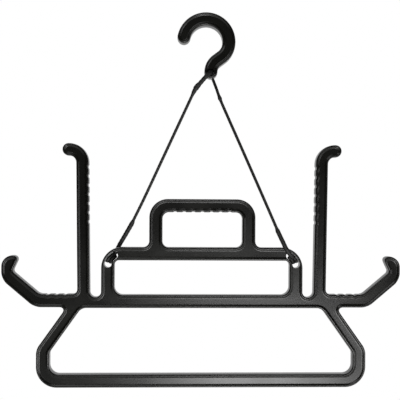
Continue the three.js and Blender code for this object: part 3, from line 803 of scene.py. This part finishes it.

# %% [markdown]
# ### Braided cord
# The cord is taken to be black polypropylene yarn, which doesn't soak up water. Each strand is a bundle of fine
# fibres, so light catches it along the fibres, and little gaps between the strands stay dark. The fibres are
# drawn as fine waves that follow the cord's own UV map, about three to a millimetre, which is coarser than real
# yarn so that they show. Each wave is a bump in the surface and a lighter streak in the colour; the lighter
# streaks are painted sheen, where light catches the fibres.
# %% Cord
def braided_cord():
    """Dull black yarn with fibres drawn along the cord, as bumps and as streaks of painted sheen."""
    made, tree, output = new_material("braided_polypropylene")
    uv = add_node(tree, "ShaderNodeUVMap", uv_map="cord")
    stretch = add_node(tree, "ShaderNodeMapping", [("Vector", uv.outputs["UV"]), ("Scale", (0.9, 44.0, 1.0))])
    fibre_and_sheen = add_node(
        tree, "ShaderNodeTexNoise",
        [("Vector", stretch.outputs["Vector"]), ("Scale", 1.0), ("Detail", 3.0), ("Roughness", 0.6)],
    )
    # The lighter end of this ramp is painted sheen: streaks where light catches the fibres.
    tone = tone_ramp(tree, fibre_and_sheen.outputs["Fac"], (0.3, "#0e0e0e"), (0.75, "#1e1e1c"))
    bump = add_node(
        tree, "ShaderNodeBump", [("Strength", 0.6), ("Distance", 0.00015), ("Height", fibre_and_sheen.outputs["Fac"])]
    )
    shader = add_node(
        tree, "ShaderNodeBsdfPrincipled",
        [("Base Color", tone), ("Roughness", 0.55), ("IOR", 1.49), ("Normal", bump.outputs["Normal"])],
    )
    tree.links.new(shader.outputs["BSDF"], output.inputs["Surface"])
    return made


cord_pieces = (left_foot, left_leg, eye_cord, right_leg, right_foot, left_stopper, right_stopper)
give_finish(cord_pieces, braided_cord())

# %% [markdown]
# ## Room and light
# The hanger hangs in front of white. The floor is plain pale paper and lies below the picture, so its shadow is
# seen only from other sides. The backdrop and the world are white to the camera, in gloss and through glass.
# %% Floor and backdrop
def matt_surface(name, hex_value):
    """A plain matt material of one colour."""
    made, tree, output = new_material(name)
    matt = add_node(tree, "ShaderNodeBsdfDiffuse", [("Color", colour(hex_value))])
    tree.links.new(matt.outputs[0], output.inputs["Surface"])
    return made


def seen_directly(tree, paths):
    """1 for rays from the camera, from gloss and through glass, and 0 for all other rays."""
    seen = paths.outputs["Is Camera Ray"]
    for other in ("Is Glossy Ray", "Is Transmission Ray"):
        either = add_node(tree, "ShaderNodeMath", [(0, seen), (1, paths.outputs[other])], operation="MAXIMUM")
        seen = either.outputs[0]
    return seen


def white_backdrop():
    """White to the camera, in gloss and through glass; pale grey paper to all other light."""
    made, tree, output = new_material("white_paper")
    seen = seen_directly(tree, add_node(tree, "ShaderNodeLightPath"))
    paper = add_node(tree, "ShaderNodeBsdfDiffuse", [("Color", colour("#d8d8d6"))])
    white = add_node(tree, "ShaderNodeEmission", [("Color", (1, 1, 1, 1)), ("Strength", 1.0)])
    mixed = add_node(tree, "ShaderNodeMixShader", [(0, seen), (1, paper.outputs[0]), (2, white.outputs[0])])
    tree.links.new(mixed.outputs[0], output.inputs["Surface"])
    return made


def flat_panel(name, corners, material):
    """A flat rectangle that isn't part of the object."""
    bm = bmesh.new()
    bm.faces.new([bm.verts.new(corner) for corner in corners])
    mesh = bpy.data.meshes.new(name)
    bm.to_mesh(mesh)
    bm.free()
    mesh.materials.append(material)
    panel = bpy.data.objects.new(name, mesh)
    bpy.context.scene.collection.objects.link(panel)
    return panel


FLOOR_Z = -1.3
BACKDROP_TOP = -1.0
FRONT_Y, BACK_Y = -3, 2.2
HALF_ROOM = 4
flat_panel(
    "floor",
    [(-HALF_ROOM, FRONT_Y, FLOOR_Z), (HALF_ROOM, FRONT_Y, FLOOR_Z),
     (HALF_ROOM, BACK_Y, FLOOR_Z), (-HALF_ROOM, BACK_Y, FLOOR_Z)],
    matt_surface("pale_paper", "#e4e4e2"),
)
flat_panel(
    "backdrop",
    [(-HALF_ROOM, BACK_Y, FLOOR_Z), (HALF_ROOM, BACK_Y, FLOOR_Z),
     (HALF_ROOM, BACK_Y, BACKDROP_TOP), (-HALF_ROOM, BACK_Y, BACKDROP_TOP)],
    white_backdrop(),
)
print("floor at", FLOOR_Z)

# %% [markdown]
# The gloss should be bright only in slopes that face down or away, and nearly black elsewhere. A studio gets
# that with black cloths in front, above and at both sides. They are hidden from the camera and from soft light.
# %% Black cloths
CLOTH_SIDE = 3
CLOTH_FRONT, CLOTH_BACK = -2.6, 2.1
CLOTH_FOOT, CLOTH_TOP = -1.25, 2.2


def upright_cloth(start, end):
    """The corners of a cloth that hangs between two points (x, y)."""
    return [(*start, CLOTH_FOOT), (*end, CLOTH_FOOT), (*end, CLOTH_TOP), (*start, CLOTH_TOP)]


front_left, front_right = (-CLOTH_SIDE, CLOTH_FRONT), (CLOTH_SIDE, CLOTH_FRONT)
back_left, back_right = (-CLOTH_SIDE, CLOTH_BACK), (CLOTH_SIDE, CLOTH_BACK)
velvet = matt_surface("black_velvet", "#050505")
cloths = {
    "cloth_front": upright_cloth(front_left, front_right),
    "cloth_left": upright_cloth(front_left, back_left),
    "cloth_right": upright_cloth(front_right, back_right),
    "cloth_above": [(*place, CLOTH_TOP) for place in (front_left, front_right, back_right, back_left)],
}
for cloth_name, corners in cloths.items():
    cloth = flat_panel(cloth_name, corners, velvet)
    cloth.visible_camera = False
    cloth.visible_diffuse = False
print("cloths:", len(cloths))

# %% [markdown]
# Three soft lamps: one at the right, one above and one low in front, which gives the broad shine on the lower
# bars. Each is its place, the point it is aimed at, its size in metres and its power in watts. The world
# adds an even fill to soft light.
# %% Lamps and world
FILL = 0.5
REST = 0.05
LAMPS = {
    "key": ((1.9, -0.9, -0.6), (0, 0, -0.28), (0.9, 0.9), 6.0),
    "top": ((-0.5, -1.1, 1.1), (0, 0, -0.28), (1.2, 0.8), 6.0),
    "low": ((0.2, -1.2, -0.86), (0.05, 0, -0.4), (0.5, 0.5), 7.5),
}


def area_lamp(name, place, target, size, power):
    """A soft rectangular lamp aimed at a point."""
    data = bpy.data.lights.new(name, "AREA")
    data.shape = "RECTANGLE"
    data.size, data.size_y = size
    data.energy = power
    lamp = bpy.data.objects.new(name, data)
    lamp.location = place
    lamp.rotation_euler = (Vector(target) - Vector(place)).to_track_quat("-Z", "Y").to_euler()
    bpy.context.scene.collection.objects.link(lamp)


for lamp_name, (place, target, size, power) in LAMPS.items():
    area_lamp(lamp_name, place, target, size, power)

world = bpy.data.worlds.new("studio")
world.use_nodes = True
world_tree = world.node_tree
world_tree.nodes.clear()
paths = add_node(world_tree, "ShaderNodeLightPath")
fill = add_node(
    world_tree, "ShaderNodeMath", [(0, paths.outputs["Is Diffuse Ray"]), (1, FILL), (2, REST)],
    operation="MULTIPLY_ADD",
)
dim = add_node(
    world_tree, "ShaderNodeBackground", [("Color", (1, 1, 1, 1)), ("Strength", fill.outputs[0])]
)
white = add_node(world_tree, "ShaderNodeBackground", [("Color", (1, 1, 1, 1)), ("Strength", 1.0)])
sky = add_node(
    world_tree, "ShaderNodeMixShader",
    [(0, seen_directly(world_tree, paths)), (1, dim.outputs[0]), (2, white.outputs[0])],
)
add_node(world_tree, "ShaderNodeOutputWorld", [("Surface", sky.outputs[0])])
bpy.context.scene.world = world
bpy.context.scene.view_settings.view_transform = "Standard"
print("lamps:", ", ".join(LAMPS))
